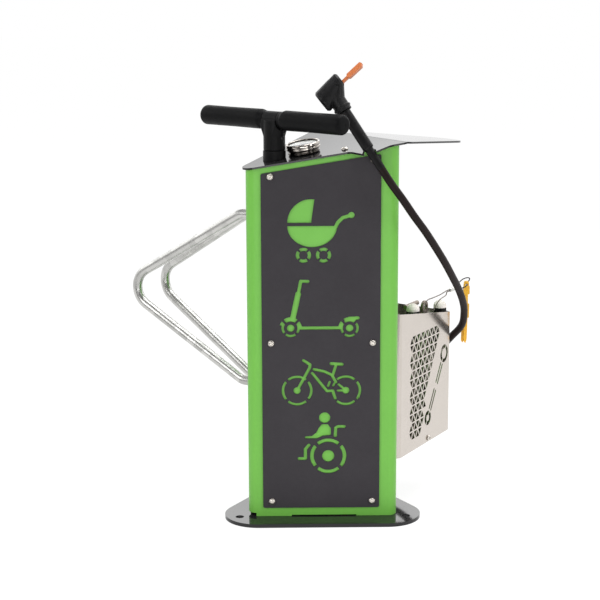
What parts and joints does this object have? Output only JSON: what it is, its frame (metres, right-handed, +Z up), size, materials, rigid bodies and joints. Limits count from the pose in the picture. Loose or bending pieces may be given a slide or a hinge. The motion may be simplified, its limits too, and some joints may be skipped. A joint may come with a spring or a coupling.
{
  "type": "public tyre pump and tool station",
  "caption": "Free-standing triangular post with a lift pump, gauge and hose under a sloping roof plate, a tool basket on one side and a tube cycle holder on another.",
  "frame": {"origin": "centre of the base plate's underside, on the ground", "axes": "+Z up, the front panel with the pictograms faces -Y, the cycle holder is towards -X and the tool basket towards +X"},
  "size_m": [0.7671, 0.44, 0.9825],
  "materials": {
    "green_paint": "satin powder coat",
    "panel_paint": "fine matt powder coat",
    "roof_paint": "smooth gloss paint",
    "stainless": "satin stainless sheet and screws",
    "zinc": "bright zinc",
    "chrome": "polished",
    "brass": "turned",
    "black_rubber": "smooth moulded",
    "black_plastic": "fine grain",
    "orange_plastic": "moulded",
    "yellow_plastic": "moulded",
    "pale_plastic": "moulded",
    "dial_white": "printed face",
    "needle_black": "painted",
    "clear_glass": "clear"
  },
  "bodies": {
    "station": {"base_plate": "roof_paint", "deck_plate": "roof_paint", "post_shell": "green_paint", "front_panel": "panel_paint", "panel_screw_1": "stainless", "panel_screw_2": "stainless", "panel_screw_3": "stainless", "panel_screw_4": "stainless", "panel_screw_5": "stainless", "panel_screw_6": "stainless", "deck_screw_1": "stainless", "deck_screw_2": "stainless", "deck_screw_3": "stainless", "pump_barrel": "stainless", "basket_screw_1": "stainless", "basket_screw_2": "stainless", "basket_screw_3": "stainless", "basket_screw_4": "stainless", "basket_wall": "stainless", "basket_floor": "stainless", "floor_screw_1": "stainless", "floor_screw_2": "stainless", "foot_valve": "brass", "rod_bush": "brass", "hose_gland": "brass", "outlet_pipe": "brass", "gauge_pipe": "brass", "pump_bracket": "zinc", "holder_tube_near": "zinc", "holder_tube_far": "zinc", "sling_cable": "zinc", "ferrule": "zinc", "gauge_case": "chrome", "gauge_bezel": "chrome", "hose": "black_rubber", "hose_sleeve": "black_rubber", "head_seal": "black_rubber", "lever_loop": "black_rubber", "deck_collar": "black_plastic", "pump_head": "black_plastic", "lever_pin": "black_plastic", "gauge_dial": "dial_white", "gauge_glass": "clear_glass"},
    "pump_slider": {"pump_piston": "zinc", "piston_seal": "black_rubber"},
    "pump_handle": {"pump_rod": "chrome", "handle_hub": "black_plastic", "handle_core": "zinc", "grip_left": "black_rubber", "grip_right": "black_rubber"},
    "lever": {"head_lever": "orange_plastic"},
    "needle": {"gauge_needle": "needle_black"},
    "screwdriver_1": {"screwdriver_grip_1": "pale_plastic", "screwdriver_blade_1": "zinc"},
    "screwdriver_2": {"screwdriver_grip_2": "pale_plastic", "screwdriver_blade_2": "zinc"},
    "spanner": {"spanner": "chrome"},
    "hex_key": {"hex_key": "zinc"},
    "tyre_lever_1": {"tyre_lever_1": "yellow_plastic"},
    "tyre_lever_2": {"tyre_lever_2": "yellow_plastic"}
  },
  "joints": [
    {"name": "pump_lift", "type": "slide", "parent": "station", "child": "pump_slider", "axis": [0, 0, 1], "range_m": [0, 0.43]},
    {"name": "handle_turn", "type": "hinge", "parent": "pump_slider", "child": "pump_handle", "pos_m": [-0.1, -0.058, 0.862], "axis": [0, 0, 1], "range_deg": [-120, 0]},
    {"name": "head_lever_turn", "type": "hinge", "parent": "station", "child": "lever", "pos_m": [0.03209, -0.09056, 0.93257], "axis": [-0.1696, -0.9621, 0.2133], "range_deg": [0, 85]},
    {"name": "gauge_needle_turn", "type": "hinge", "parent": "station", "child": "needle", "pos_m": [-0.037, -0.043, 0.7906], "axis": [0.1576, 0.091, -0.9833], "range_deg": [0, 270], "stiffness_Nm_per_rad": 0.0002},
    {"name": "screwdriver_1_lift", "type": "slide", "parent": "station", "child": "screwdriver_1", "axis": [0, 0, 1], "range_m": [0, 0.32]},
    {"name": "screwdriver_2_lift", "type": "slide", "parent": "station", "child": "screwdriver_2", "axis": [0, 0, 1], "range_m": [0, 0.32]},
    {"name": "spanner_lift", "type": "slide", "parent": "station", "child": "spanner", "axis": [0, 0, 1], "range_m": [0, 0.32]},
    {"name": "hex_key_lift", "type": "slide", "parent": "station", "child": "hex_key", "axis": [0, 0, 1], "range_m": [0, 0.32]},
    {"name": "tyre_lever_1_swing", "type": "hinge", "parent": "station", "child": "tyre_lever_1", "pos_m": [0.34, 0.195, 0.46], "axis": [0, -1, 0], "range_deg": [0, 45]},
    {"name": "tyre_lever_2_swing", "type": "hinge", "parent": "station", "child": "tyre_lever_2", "pos_m": [0.34, 0.195, 0.46], "axis": [0, -1, 0], "range_deg": [0, 45]}
  ]
}
